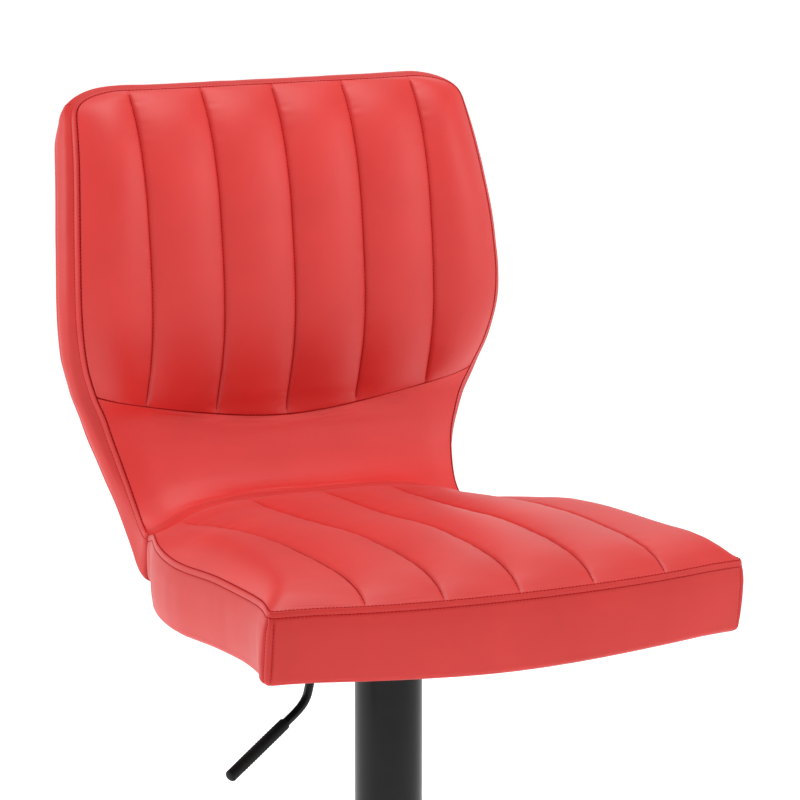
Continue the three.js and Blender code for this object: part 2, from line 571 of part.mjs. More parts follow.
function buildSeat() {
  const shellInset = SKIN + 3 * GAP;
  const shell = layer({
    inset: shellInset, from: always(0.15), to: always(LAST - 0.27), columns: 4,
    near: (s) => s.depth - COVER - GAP - PLY, far: (s) => s.depth - COVER - GAP, trim: shellInset,
  });
  const nutTop = SEAT_BOTTOM_Z + COVER + GAP + PLY - 0.5;
  let ply = shell;
  let lining = layer({
    inset: SKIN + 1, from: always(0.15), to: always(BAND_JOIN - 0.1), columns: 4,
    near: (s) => s.depth - COVER, far: (s) => s.depth, trim: shellInset,
  });
  mirrored.forEach(([sx, sy], i) => {
    const [x, y] = [sx * BOLT_X, sy * BOLT_Y];
    ply = ply.subtract(post(x, y, 5.2, SEAT_BOTTOM_Z - 5, nutTop + 20));
    ply = ply.subtract(post(x, y, 9.6, nutTop - 2, nutTop + 20));
    lining = lining.subtract(post(x, y, 5.2, SEAT_BOTTOM_Z - 5, nutTop));
    const nut = turned([[3.4, SEAT_BOTTOM_Z + 5], [4.8, SEAT_BOTTOM_Z + 5], [4.8, nutTop - 1.5],
      [9.2, nutTop - 1.5], [9.2, nutTop], [3.4, nutTop]], 14);
    add(`tee_nut_${i + 1}`, geometryOf(nut.translate([x, y, 0])), "steel");
  });
  add("seat_shell", geometryOf(ply), "plywood");
  add("seat_lining", geometryOf(lining), "lining");

  const padInset = SKIN + 3 * GAP;
  const pad = (name, from, to) => {
    const faces = { near: padded, far: onShell, columns: 12, spread: towardsSides };
    add(name, geometryOf(layer({ inset: padInset, from, to, trim: padInset, ...faces })), "leather");
  };
  pad("seat_cushion", always(0.1), always(CREASE - SEAM_HALF));
  pad("back_lower_pad", always(CREASE + SEAM_HALF), (a) => channelsStart(a) - SEAM_HALF);
  pad("back_channel_pad", (a) => channelsStart(a) + SEAM_HALF, always(LAST - 0.17));

  // The sewn bands: the outer form less the room for what they go round.
  const past = 8;
  const form = (from, to) => {
    const faces = { near: () => 0, far: (s) => s.depth, columns: 8 };
    return layer({ inset: 0, from: always(from), to: always(to), ...faces });
  };
  const room = (from, to) => {
    const faces = { near: () => -past, far: (s) => s.depth + past, columns: 8 };
    return layer({ inset: SKIN, from: always(from), to: always(to), trim: SKIN, ...faces });
  };
  const seatBand = form(0, BAND_JOIN).subtract(room(0, BAND_JOIN + 0.8));
  add("seat_band", geometryOf(seatBand), "leather");
  const backForm = form(BAND_JOIN + 0.05, LAST);
  const backBand = backForm.subtract(room(BAND_JOIN - 0.6, LAST - 0.12));
  add("back_band", geometryOf(backBand), "leather");

  const rear = layer({
    inset: SKIN + 1, from: always(BAND_JOIN + 0.15), to: always(LAST - 0.27), columns: 4,
    near: (s) => s.depth - COVER, far: (s) => s.depth,
  });
  add("back_rear_cover", geometryOf(rear), "leather");
}

buildBase();
buildColumn();
buildSleeve();
buildFootrest();
buildSeatPlate();
buildLever();
buildSeat();

export default stool;
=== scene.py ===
# The looks of the adjustable swivel stool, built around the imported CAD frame. The script's lengths are in
# millimetres, and MM turns them into Blender's metres. The sitter faces -Y.
import json
import math

import bmesh
import bpy
import numpy as np
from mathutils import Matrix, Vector


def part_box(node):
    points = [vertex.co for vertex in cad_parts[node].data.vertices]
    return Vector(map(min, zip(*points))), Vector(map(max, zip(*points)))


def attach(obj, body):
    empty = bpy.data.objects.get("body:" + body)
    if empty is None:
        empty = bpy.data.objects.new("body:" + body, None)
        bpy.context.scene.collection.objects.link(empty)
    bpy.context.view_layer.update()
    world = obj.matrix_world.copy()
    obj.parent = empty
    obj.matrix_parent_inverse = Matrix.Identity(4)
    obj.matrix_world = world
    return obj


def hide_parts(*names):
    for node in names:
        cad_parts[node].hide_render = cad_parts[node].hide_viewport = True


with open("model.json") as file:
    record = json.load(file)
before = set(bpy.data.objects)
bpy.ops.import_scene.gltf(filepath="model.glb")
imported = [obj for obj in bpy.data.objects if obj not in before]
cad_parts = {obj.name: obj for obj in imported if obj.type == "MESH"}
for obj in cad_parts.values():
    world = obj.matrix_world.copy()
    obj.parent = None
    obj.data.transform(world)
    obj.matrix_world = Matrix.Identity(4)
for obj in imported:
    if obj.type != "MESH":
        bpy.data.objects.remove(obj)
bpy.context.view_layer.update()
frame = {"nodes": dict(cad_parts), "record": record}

MM = 0.001

# ---- driving dimensions ---------------------------------------------------------------------------------

SEAM_Z = 588  # height of the seam round the top of the seat
SEAT_BOTTOM_Z = SEAM_Z - 62
FRONT_BULGE = 16  # how far the front edge bows forward of its corners
FRONT_BLEND = 110  # how far back the bow fades out
# How far a corner reaches across and along the side, and two powers that make it squarer than an ellipse.
FRONT_CORNER = (5, 5, 2, 0.5)
TOP_CORNER = (46, 34, 4.5, 0.625)
FLARE = 9  # how much wider the back is behind than at its seam, each side
SHELL_ROOM = 15  # from the outside of the shell's covers in to the pads
CHANNEL_W = 71  # from seam to seam of the sewn channels
CHANNEL_SEAMS = [-2 * CHANNEL_W, -CHANNEL_W, 0, CHANNEL_W, 2 * CHANNEL_W]
SEAT_HUMP = 5.5  # how far a channel of the seat stands above its seams
BACK_HUMP = 7.5
STRIP_W = 5.6  # from the seam to the line of topstitching beside it
STITCH_PITCH = 3.4
STITCH_LENGTH = 2.8
THREAD_R = 0.36
THREAD_LIFT = 0.15
CORNER_STRIP = 1.75  # from a corner's middle to each of its two lines of stitching
CELLS = 20  # columns of a pad's grid from one channel seam to the next
BAND_POINTS = 48  # down a band's outer profile
ROUNDING = 5  # points on each rounded corner of a turned profile
SIM_FRAMES = 20
FULL_PRESSURE = 2.5  # of the stuffing in the pads with channels
FAINT_PRESSURE = 0.5  # of the flat panel under the back's channels
MOST_PUFF = 3  # how far the stuffing may push any point

COLUMN_R = 25
SLEEVE_R = 30
BUSH_GAP = 0.3  # from the column to the rings round it
TUBE_WALL = 1.5
LEVER_TURN = math.radians(17)  # the lever points to -X, turned this far to the front
LEVER_Z = SEAT_BOTTOM_Z - 14
LEVER_R = 4
GRIP_R = 5.6
FOOTREST_Z = 190
FOOTREST_R = 11
FOOTREST_REACH = 232
FOOTREST_HALF_W = 158
FOOTREST_CENTRE = 118  # of the oval, in front of the axis

CAMERA_PLACE = (-1.7250, -3.3833, 1.3729)  # metres
CAMERA_VIEW = (0.44982, 0.87639, -0.17210)  # the direction that it looks in
FLOOR_REACH = 40 / MM  # 40 m

# Stations along the side seam, from the front of the seat to the top of the back. The seam's y and its z
# above SEAM_Z, the band's depth, the half width; then the line down the middle of the padding: its y and z;
# and how much lower the padding is at the outer channel seams than in the middle.
STATIONS = [
    (-228, 0, 62, 224.5, -228, -3.7, -2.4),
    (-212, 2, 64, 220.5, -212, 8.5, -0.7),
    (-185, 1.5, 63.5, 214, -185, 17, 1),
    (-140, 0, 62, 208, -140, 22, 2.4),
    (-80, 0, 62, 206, -80, 23.3, 2.3),
    (-20, -2.5, 59.5, 206, -20, 19.6, 1),
    (20, -2.5, 59.5, 202.5, 20, 18, 3),
    (60, -1.5, 60.5, 194, 60, 17.6, 7),
    (95, -1.5, 60.5, 182, 95, 17.6, 11.5),
    (128, -6, 56, 169, 126, 16.8, 13),
    (152, -11.5, 47, 163, 148, 14.5, 18.5),
    (168, -6, 41, 161, 164, 17, 15),
    (181, 7, 38, 161, 178, 25, 8),
    (193, 28, 36, 164, 189, 37.5, 3),
    (201, 47, 35, 168, 197, 52, 1),
    (205, 67, 35, 174, 202, 67, 0),
    (206, 87, 35, 180.5, 204.5, 87, 0),
    (204, 107, 35, 190, 198.5, 107, 0),
    (197, 135, 35, 201, 190, 135, 0),
    (191, 165, 35, 207.5, 185.2, 165, 0),
    (190, 195, 35, 209.5, 185, 195, 0),
    (193, 225, 35, 208.5, 187, 225, 0),
    (198, 255, 35, 206.5, 190.5, 255, 0),
    (206, 288, 35, 203, 195.5, 288, 0),
    (216, 321, 35, 199, 204.5, 321, 0),
    (228, 351, 35, 195.5, 217.5, 351, 0),
    (241, 378, 35, 192.5, 235.5, 378, 0),
]
LAST = len(STATIONS) - 1  # the top of the back
CREASE = 10.7  # the station of the fold between the seat and the back
BAND_JOIN = 10.2  # where the seat's band is sewn to the back's
CHANNELS_START = 15.5  # the seam under the back's channels, at the middle
CHANNELS_START_SIDE = 17
CHANNELS_START_POWER = 1.7
# How the padding falls off towards the side seams: (station, width of the fall, how it bends across).
SIDE_FALL = [
    (0, 19, 2), (2, 22, 2), (4, 33, 2), (6, 54, 2), (8, 56, 2), (9, 48, 3), (10, 40, 4.5), (12, 34, 4),
    (15, 30, 2), (18, 46, 2), (26, 46, 2),
]
# How much longer or shorter the seat's band is than the seat is deep: (station, length).
BAND_TRIM = [
    (0, 3), (1, 1), (2, 0.5), (3, -0.5), (4, 0.5), (5, 3), (6, 3), (7, 2), (8, -1), (9, -2), (10, -2),
]
# How strongly the channels of the seat stand up, from full at the front to nothing at the fold.
SEAT_HUMP_FADE = [(0, 1), (6, 1), (8, 0.75), (9, 0.4), (9.9, 0)]


# ---- curves and meshes ----------------------------------------------------------------------------------

def catmull(values, t):
    """A smooth line through the rows of values, which stand at 0, 1, 2 ..., at the places t."""
    v = np.asarray(values, float)
    v = np.vstack([2 * v[0] - v[1], v, 2 * v[-1] - v[-2]])
    t = np.asarray(t, float)
    i = np.clip(np.floor(t).astype(int), 0, len(v) - 4)
    u = (t - i)[..., None]
    a, b, c, d = v[i], v[i + 1], v[i + 2], v[i + 3]
    return 0.5 * (2 * b + (c - a) * u + (2 * a - 5 * b + 4 * c - d) * u**2 + (3 * b - a - 3 * c + d) * u**3)


def smoothed(points, steps):
    """A dense smooth line through a few points."""
    return catmull(points, np.linspace(0, len(points) - 1, steps))


def listed(pairs, t, column=1):
    """A column of a short list, read off between its stations."""
    return np.interp(t, [p[0] for p in pairs], [p[column] for p in pairs])


def smoothstep(t, low, high):
    u = np.clip((t - low) / (high - low), 0, 1)
    return u * u * (3 - 2 * u)


def unit(v):
    return v / np.maximum(np.linalg.norm(v, axis=-1, keepdims=True), 1e-9)


def distances(points):
    """How far along a line each of its points is."""
    return np.concatenate([[0], np.cumsum(np.linalg.norm(np.diff(points, axis=0), axis=1))])


def read_off(wanted, at, rows):
    """Rows of x, y and z that stand at the places at, read off at the wanted places."""
    return np.stack([np.interp(wanted, at, rows[:, k]) for k in range(3)], -1)


def eased(count, ease):
    """Numbers from 0 to 1, closer together near both ends."""
    u = np.linspace(0, 1, count + 1)
    return u - ease * np.sin(2 * np.pi * u) / (2 * np.pi)


def ripple(*places):
    """A fixed uneven wave between about -1 and 1, one pattern for each set of places."""
    total = 0
    for i, (wave, turn) in enumerate([(1.0, 0.3), (1.73, 1.9), (2.61, 4.1), (0.57, 2.6)]):
        phase = sum(p * wave * (1 + 0.37 * j) for j, p in enumerate(places))
        total = total + np.sin(phase + turn + 1.3 * np.sin(0.41 * phase + i))
    return total / 3


def as_object(name, points, faces, material, merge=True):
    """A closed mesh piece, smooth, with its faces pointing out. Points are in millimetres."""
    mesh = bpy.data.meshes.new(name)
    mesh.from_pydata((np.asarray(points) * MM).tolist(), [], [tuple(map(int, f)) for f in faces])
    work = bmesh.new()
    work.from_mesh(mesh)
    if merge:
        bmesh.ops.remove_doubles(work, verts=work.verts, dist=1e-6)
    bmesh.ops.recalc_face_normals(work, faces=work.faces)
    for face in work.faces:
        face.smooth = True
    work.to_mesh(mesh)
    work.free()
    mesh.materials.append(material)
    made = bpy.data.objects.new(name, mesh)
    bpy.context.scene.collection.objects.link(made)
    return made


def grid_faces(rows, columns, start=0, wrap=False):
    i, j = np.meshgrid(np.arange(rows - 1), np.arange(columns if wrap else columns - 1), indexing="ij")
    a = start + i * columns + j
    b = start + i * columns + (j + 1) % columns
    return np.stack([a, b, b + columns, a + columns], -1).reshape(-1, 4)


def closed_sheet(name, near, far, material, merge=True):
    """A pad between two grids of points with the same rows and columns, closed round its edge."""
    rows, columns = near.shape[:2]
    count = rows * columns
    order = np.arange(count).reshape(rows, columns)
    rim = np.concatenate([order[0, :-1], order[:-1, -1], order[-1, :0:-1], order[:0:-1, 0]])
    following = np.roll(rim, -1)
    walls = np.stack([rim, following, following + count, rim + count], -1)
    faces = np.vstack([grid_faces(rows, columns), grid_faces(rows, columns, count), walls])
    return as_object(name, np.vstack([near.reshape(-1, 3), far.reshape(-1, 3)]), faces, material, merge)


def swept(name, rings, material, closed=False):
    """A solid from rings of points, each ring a closed section."""
    rows, columns = rings.shape[:2]
    if closed:
        rings = np.concatenate([rings, rings[:1]])
        faces = [tuple(f) for f in grid_faces(rows + 1, columns, wrap=True)]
        return as_object(name, rings.reshape(-1, 3), faces, material)
    faces = [tuple(f) for f in grid_faces(rows, columns, wrap=True)]
    faces.append(tuple(range(columns)))
    faces.append(tuple(range(rows * columns - 1, (rows - 1) * columns - 1, -1)))
    return as_object(name, rings.reshape(-1, 3), faces, material)


def sections(path, outward, down, profile):
    """Rings for swept(): at each point of a path its profile's two columns, laid along outward and down."""
    out = outward[:, None, :] * profile[..., :1]
    return path[:, None, :] + out + down[:, None, :] * profile[..., 1:]


def turned(name, profile, material, segments=128):
    """A body of revolution about the column's axis, from a closed profile of (radius, z)."""
    turn = np.linspace(0, 2 * np.pi, segments, endpoint=False)
    p = np.asarray(profile, float)
    x = np.cos(turn)[:, None] * p[None, :, 0]
    y = np.sin(turn)[:, None] * p[None, :, 0]
    z = np.broadcast_to(p[None, :, 1], x.shape)
    return swept(name, np.stack([x, y, z], -1), material, closed=True)


def rounded(profile, radius):
    """A closed profile with each of its corners rounded."""
    p = np.asarray(profile, float)
    made = []
    for i in range(len(p)):
        before, here, after = p[i - 1], p[i], p[(i + 1) % len(p)]
        back, on = before - here, after - here
        cut = min(radius, np.linalg.norm(back) * 0.45, np.linalg.norm(on) * 0.45)
        start, end = here + unit(back) * cut, here + unit(on) * cut
        for u in np.linspace(0, 1, ROUNDING):
            made.append((1 - u) ** 2 * start + 2 * u * (1 - u) * here + u * u * end)
    return np.array(made)


def tube_rings(path, radius, sides=24):
    """Rings of a round bar along a path; radius may change along it."""
    along = unit(np.gradient(path, axis=0))
    side = np.zeros_like(path)
    reference = np.array([0.0, 0.0, 1.0]) if abs(along[0, 2]) < 0.9 else np.array([0.0, 1.0, 0.0])
    for i, a in enumerate(along):
        reference = reference - a * reference.dot(a)
        reference = reference / np.linalg.norm(reference)
        side[i] = reference
    other = np.cross(along, side)
    turn = np.linspace(0, 2 * np.pi, sides, endpoint=False)
    radius = np.broadcast_to(radius, len(path))[:, None, None]
    ring = np.cos(turn)[None, :, None] * side[:, None] + np.sin(turn)[None, :, None] * other[:, None]
    return path[:, None] + radius * ring


def even_path(points, step):
    """The same line with points about a given step apart."""
    length = distances(points)
    at = np.linspace(0, length[-1], max(2, int(round(length[-1] / step)) + 1))
    return read_off(at, length, points)


# ---- the form of the upholstery -------------------------------------------------------------------------

FINE = np.linspace(0, LAST, 2601)
FINE_LENGTH = distances(catmull([s[:2] for s in STATIONS], FINE))


def length_at(t):
    return np.interp(t, FINE, FINE_LENGTH)


def station_of(length):
    return np.interp(length, FINE_LENGTH, FINE)


def corner_cut(reach, corner):
    """How far a rounded corner's edge is drawn in, at a distance from the corner."""
    across, along, bend, root = corner
    left = np.clip(1 - reach / along, 0, 1)
    return across * (1 - (1 - left**bend) ** root)


def half_width(t):
    """The half width at the side seam, with rounded corners at the seat's front and the back's top."""
    half = catmull([s[3:4] for s in STATIONS], t)[..., 0]
    front = corner_cut(length_at(t), FRONT_CORNER)
    top = corner_cut(FINE_LENGTH[-1] - length_at(t), TOP_CORNER)
    return half - front - top


def bowed(x, y):
    """y with the front edge's bow added."""
    bow = FRONT_BULGE * (1 - np.abs(x / STATIONS[0][3]) ** 3)
    return y - bow * np.clip(1 - (y - STATIONS[0][0]) / FRONT_BLEND, 0, 1)


def side_seam(t):
    """The y and z of the side seam, and the direction (y, z) from it in towards the shell."""
    seam = [s[:2] for s in STATIONS]
    step = 0.02
    along = unit(catmull(seam, np.asarray(t) + step) - catmull(seam, np.asarray(t) - step))
    return catmull(seam, t), np.stack([along[..., 1], -along[..., 0]], -1)


def inward_at(t):
    """The same direction as x, y and z."""
    inward = side_seam(t)[1]
    return np.stack([np.zeros_like(t), inward[..., 0], inward[..., 1]], -1)


def band_depth(t):
    return catmull([s[2:3] for s in STATIONS], t)[..., 0]


def under_seam(t, x, depth):
    """Points at x across, a depth in from the side seam's line, without the front's bow."""
    at, inward = side_seam(t)
    y = at[..., 0] + inward[..., 0] * depth
    z = SEAM_Z + at[..., 1] + inward[..., 1] * depth
    return np.stack([x, y, z], -1)


def padding(t, x, hump):
    """Points on the padding's face at stations t and places x across, with humps between channel seams."""
    seam, inward = side_seam(t)
    half = half_width(t)
    middle = catmull([s[4:6] for s in STATIONS], t)
    drop = catmull([s[6:7] for s in STATIONS], t)[..., 0]
    width = listed(SIDE_FALL, t)
    power = listed(SIDE_FALL, t, 2)
    flat = np.minimum(np.abs(x), 185)
    lower = drop * (flat / CHANNEL_SEAMS[-1]) ** power
    from_side = np.clip(half - np.abs(x), 0, None)
    fall = 1 - (1 - np.clip(from_side / width, 0, 1)) ** 2.2
    height = middle - seam
    height[..., 1] -= lower
    # Between two seams a channel is an arch. The outermost ones stay up until the side's own fall.
    share = np.mod(np.abs(x), CHANNEL_W) / CHANNEL_W
    outer = np.abs(x) > CHANNEL_SEAMS[-1]
    outer_share = np.clip((np.abs(x) - CHANNEL_SEAMS[-1]) / (half - CHANNEL_SEAMS[-1]), 0, 1) * 0.6
    share = np.where(outer, outer_share, share)
    arch = 1 - np.abs(2 * share - 1) ** 2.3
    arch = np.where(outer & (share > 0.5), 1, arch)
    y = seam[..., 0] + height[..., 0] * fall - inward[..., 0] * hump * arch * fall
    z = SEAM_Z + seam[..., 1] + height[..., 1] * fall - inward[..., 1] * hump * arch * fall
    return np.stack([x, bowed(x, y), z], -1)


def under_padding(t, across):
    """Points on the shell's side of the pads."""
    at, inward = side_seam(t)
    depth = band_depth(t) - SHELL_ROOM
    x = across * (half_width(t) - 6)
    y = bowed(x, at[..., 0] + 5 * np.clip(1 - (at[..., 0] - STATIONS[0][0]) / FRONT_BLEND, 0, 1))
    return np.stack([x, y + inward[..., 0] * depth, SEAM_Z + at[..., 1] + inward[..., 1] * depth], -1)


def channels_start(x):
    """The station of the seam under the back's channels, lowest in the middle."""
    across = np.abs(x) / half_width(np.full_like(x, float(CHANNELS_START_SIDE)))
    return CHANNELS_START + (CHANNELS_START_SIDE - CHANNELS_START) * across**CHANNELS_START_POWER


def across_places(cells):
    """Columns over the four inner channels, closer together beside each seam."""
    inner = [CHANNEL_W * (k + u) for k in (-2, -1, 0, 1) for u in eased(cells, 0.88)[:-1]]
    return np.array(inner + [CHANNEL_SEAMS[-1]])


def columns_for(t, cells):
    """x of every column of a pad's grid at the stations t: even channels inside, one to each side seam."""
    inner = across_places(cells)
    edge = half_width(t)[:, None] - 0.5
    outer = CHANNEL_SEAMS[-1] + (edge - CHANNEL_SEAMS[-1]) * eased(cells, 0.88)[None, 1:]
    inside = np.broadcast_to(inner, (len(t), len(inner)))
    return np.concatenate([-outer[:, ::-1], inside, outer], 1)


def pad_grid(start, end, rows, cells, hump):
    """A grid of points on the padding between two station lines, each a function of x."""
    share = eased(rows, 0.7)
    first, last = start(np.zeros(1))[0], end(np.zeros(1))[0]
    x = columns_for(first + (last - first) * share, cells)
    for _ in range(3):
        t = start(x) + (end(x) - start(x)) * share[:, None]
        x = columns_for(t[:, -1], cells)
    near = padding(t, x, hump(t, x))
    far = under_padding(t, x / half_width(t))
    return near, far, t, x


def line(station):
    return lambda x: np.full_like(x, float(station))


def rise(distance, width):
    """0 at a seam, 1 from width away, leaving the seam steeply."""
    return np.sqrt(1 - (1 - np.clip(distance / width, 0, 1)) ** 2)


def no_hump(t, x):
    return np.zeros_like(t)


def seat_hump(t, x):
    front = 1 - (1 - np.clip(length_at(t) / 42, 0, 1)) ** 2
    return SEAT_HUMP * listed(SEAT_HUMP_FADE, t) * front


def back_hump(t, x):
    low = rise(length_at(t) - length_at(channels_start(x)), 30)
    high = rise(FINE_LENGTH[-1] - length_at(t), 42)
    return BACK_HUMP * low * high


# ---- materials ------------------------------------------------------------------------------------------

def new_material(name):
    material = bpy.data.materials.new(name)
    material.use_nodes = True
    nodes, links = material.node_tree.nodes, material.node_tree.links
    return material, nodes, links, nodes["Principled BSDF"]


def node(nodes, kind, **settings):
    made = nodes.new(kind)
    for key, value in settings.items():
        if key in made.inputs:
            made.inputs[key].default_value = value
        else:
            setattr(made, key, value)
    return made


def on_object(nodes, links, made):
    """Lets a node read the object's own coordinates."""
    links.new(node(nodes, "ShaderNodeTexCoord").outputs["Object"], made.inputs["Vector"])
    return made


def noise_node(nodes, links, scale, detail):
    return on_object(nodes, links, node(nodes, "ShaderNodeTexNoise", Scale=scale, Detail=detail))


def coloured(nodes, links, bsdf, pattern, low, high):
    """The shader's colour goes from low to high with a pattern."""
    made = node(nodes, "ShaderNodeValToRGB")
    made.color_ramp.elements[0].position = 0.3
    made.color_ramp.elements[1].position = 0.7
    made.color_ramp.elements[0].color = (*low, 1)
    made.color_ramp.elements[1].color = (*high, 1)
    links.new(pattern.outputs["Fac"], made.inputs["Fac"])
    links.new(made.outputs["Color"], bsdf.inputs["Base Color"])


def roughened(nodes, links, bsdf, pattern, low, high):
    """The shader's roughness goes from low to high with a pattern."""
    made = node(nodes, "ShaderNodeMapRange")
    made.inputs["To Min"].default_value = low
    made.inputs["To Max"].default_value = high
    links.new(pattern.outputs["Fac"], made.inputs["Value"])
    links.new(made.outputs["Result"], bsdf.inputs["Roughness"])


def bump(nodes, links, bsdf, heights):
    """Bumps one on another. heights is a list of (socket, strength, distance in millimetres)."""
    last = None
    for source, strength, distance in heights:
        made = node(nodes, "ShaderNodeBump", Strength=strength, Distance=distance * MM)
        links.new(source, made.inputs["Height"])
        if last is not None:
            links.new(last.outputs["Normal"], made.inputs["Normal"])
        last = made
    links.new(last.outputs["Normal"], bsdf.inputs["Normal"])


def leather(name, low, high, specular=0.55):
    """Red faux leather: fine pebbled grain, faint mottling, a soft satin surface."""
    material, nodes, links, bsdf = new_material(name)
    mottle = noise_node(nodes, links, 16, 4)
    coloured(nodes, links, bsdf, mottle, low, high)
    pebbles = node(nodes, "ShaderNodeTexVoronoi", feature="SMOOTH_F1", Scale=1150.0)
    on_object(nodes, links, pebbles)
    pores = noise_node(nodes, links, 2600, 2)
    roughened(nodes, links, bsdf, pores, 0.46, 0.56)
    soft = noise_node(nodes, links, 95, 2)
    bump(nodes, links, bsdf, [
        (pebbles.outputs["Distance"], 0.22, 0.25),
        (pores.outputs["Fac"], 0.10, 0.12),
        (soft.outputs["Fac"], 0.10, 0.5),
    ])
    bsdf.inputs["Specular IOR Level"].default_value = specular
    bsdf.inputs["Sheen Weight"].default_value = 0.07
    bsdf.inputs["Sheen Roughness"].default_value = 0.4
    return material


def grained(name, low, high, roughness, scale, strength, metallic=0.0, depth=0.1, specular=0.5):
    """Paint, plastic, rubber or metal with a fine surface grain and a little colour change."""
    material, nodes, links, bsdf = new_material(name)
    grain = noise_node(nodes, links, scale, 3)
    wide = noise_node(nodes, links, scale / 30, 3)
    coloured(nodes, links, bsdf, wide, low, high)
    roughened(nodes, links, bsdf, wide, roughness - 0.05, roughness + 0.05)
    bump(nodes, links, bsdf, [(grain.outputs["Fac"], strength, depth)])
    bsdf.inputs["Metallic"].default_value = metallic
    bsdf.inputs["Specular IOR Level"].default_value = specular
    return material


def brushed(name, low, high, roughness):
    """Bare machined steel, with fine turning marks across its height."""
    material, nodes, links, bsdf = new_material(name)
    stretch = on_object(nodes, links, node(nodes, "ShaderNodeMapping"))
    stretch.inputs["Scale"].default_value = (60, 60, 2600)
    marks = node(nodes, "ShaderNodeTexNoise", Scale=1.0, Detail=3.0)
    links.new(stretch.outputs["Vector"], marks.inputs["Vector"])
    coloured(nodes, links, bsdf, marks, low, high)
    roughened(nodes, links, bsdf, marks, roughness - 0.08, roughness + 0.08)
    bump(nodes, links, bsdf, [(marks.outputs["Fac"], 0.15, 0.05)])
    bsdf.inputs["Metallic"].default_value = 1.0
    return material


def plywood(name):
    """Birch plywood: thin plies on edge, grain along the face."""
    material, nodes, links, bsdf = new_material(name)
    plies = node(nodes, "ShaderNodeTexWave", bands_direction="Z", Scale=140.0, Distortion=0.6)
    plies.inputs["Detail"].default_value = 2.0
    on_object(nodes, links, plies)
    coloured(nodes, links, bsdf, plies, (0.38, 0.22, 0.10), (0.66, 0.46, 0.26))
    fibres = noise_node(nodes, links, 700, 4)
    roughened(nodes, links, bsdf, fibres, 0.55, 0.75)
    bump(nodes, links, bsdf, [(fibres.outputs["Fac"], 0.3, 0.15)])
    return material


def nonwoven(name):
    """Black spun-bonded dust cover, embossed with small dots."""
    material, nodes, links, bsdf = new_material(name)
    dots = node(nodes, "ShaderNodeTexVoronoi", feature="F1", Scale=520.0, Randomness=0.15)
    on_object(nodes, links, dots)
    fibres = noise_node(nodes, links, 1800, 4)
    coloured(nodes, links, bsdf, fibres, (0.012, 0.012, 0.013), (0.035, 0.035, 0.037))
    bump(nodes, links, bsdf, [(dots.outputs["Distance"], 0.5, 0.3), (fibres.outputs["Fac"], 0.3, 0.15)])
    bsdf.inputs["Roughness"].default_value = 0.9
    bsdf.inputs["Sheen Weight"].default_value = 0.2
    return material


def thread(name):
    """Twisted thread of a deeper red than the leather."""
    material, nodes, links, bsdf = new_material(name)
    twist = noise_node(nodes, links, 3000, 2)
    coloured(nodes, links, bsdf, twist, (0.34, 0.002, 0.005), (0.52, 0.003, 0.008))
    bump(nodes, links, bsdf, [(twist.outputs["Fac"], 0.4, 0.1)])
    bsdf.inputs["Roughness"].default_value = 0.6
    bsdf.inputs["Specular IOR Level"].default_value = 0.1
    return material


RED = leather("red_leather", (0.555, 0.018, 0.014), (0.60, 0.022, 0.017))
# Painted light: a lighter copy of the red leather for the panel under the back's channels. Its colour is
# raised to make up for the shade that the seat and the channels cast there.
PAINTED_LIGHTER_RED = leather("red_leather_painted_lighter", (0.63, 0.020, 0.016), (0.68, 0.024, 0.019))
# Painted shade: a darker copy of the red leather for the bands and the rear cover. Its colour is lowered to
# stand in for the dimmer light that falls on the front band.
PAINTED_DARKER_RED = leather("red_leather_painted_darker", (0.485, 0.013, 0.010), (0.525, 0.016, 0.012), 0.4)
THREAD = thread("red_thread")
BLACK_METAL = grained("black_powder_coat", (0.0025, 0.0025, 0.003), (0.0045, 0.0045, 0.005),
                      0.30, 1500, 0.12, specular=0.22)
STEEL = brushed("bare_steel", (0.42, 0.43, 0.44), (0.60, 0.61, 0.62), 0.34)
IRON = grained("cast_iron", (0.03, 0.03, 0.031), (0.07, 0.068, 0.066), 0.75, 900, 0.5, 0.5, 0.3)
PLASTIC = grained("black_plastic", (0.006, 0.006, 0.0065), (0.011, 0.011, 0.0115),
                  0.42, 1800, 0.25, specular=0.3)
RUBBER = grained("black_rubber", (0.004, 0.004, 0.004), (0.008, 0.008, 0.008),
                 0.55, 1200, 0.35, specular=0.2)
PLYWOOD = plywood("plywood")
LINING = nonwoven("black_lining")
OF_SLOT = {
    "red_leather": RED, "red_padding": RED, "black_lining": LINING, "plywood": PLYWOOD,
    "black_metal": BLACK_METAL, "bare_steel": STEEL, "iron": IRON, "black_plastic": PLASTIC,
    "black_rubber": RUBBER,
}


def dress_cad_nodes():
    """Gives each CAD node the material of its slot."""
    for part in frame["record"]["subparts"]:
        mesh = frame["nodes"][part["node"]].data
        mesh.materials.clear()
        mesh.materials.append(OF_SLOT[part["material_slot"]])


def settle(piece, body, slot, *replaced):
    """The piece rides on its body and stands for CAD nodes, which are hidden. The slot is not used."""
    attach(piece, body)
    if replaced:
        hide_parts(*replaced)
    return piece


# ---- stitching ------------------------------------------------------------------------------------------

def capsule():
    """A thread's stitch along X, one unit long and one unit thick, dipping into the leather at its ends."""
    sides = 6
    rings = [(-0.42, 0.7, -0.5), (-0.2, 1, 0.15), (0.2, 1, 0.15), (0.42, 0.7, -0.5)]
    turn = np.arange(sides) * 2 * np.pi / sides
    points = [(-0.5, 0, -1.0)]
    for along, radius, lift in rings:
        points += [(along, radius * math.cos(a), radius * math.sin(a) + lift) for a in turn]
    points.append((0.5, 0, -1.0))
    faces = [(0, 1 + (k + 1) % sides, 1 + k) for k in range(sides)]
    for r in range(len(rings) - 1):
        low, high = 1 + r * sides, 1 + (r + 1) * sides
        faces += [(low + k, low + (k + 1) % sides, high + (k + 1) % sides, high + k) for k in range(sides)]
    end, last = len(points) - 1, 1 + (len(rings) - 1) * sides
    faces += [(end, last + k, last + (k + 1) % sides) for k in range(sides)]
    return np.array(points), faces


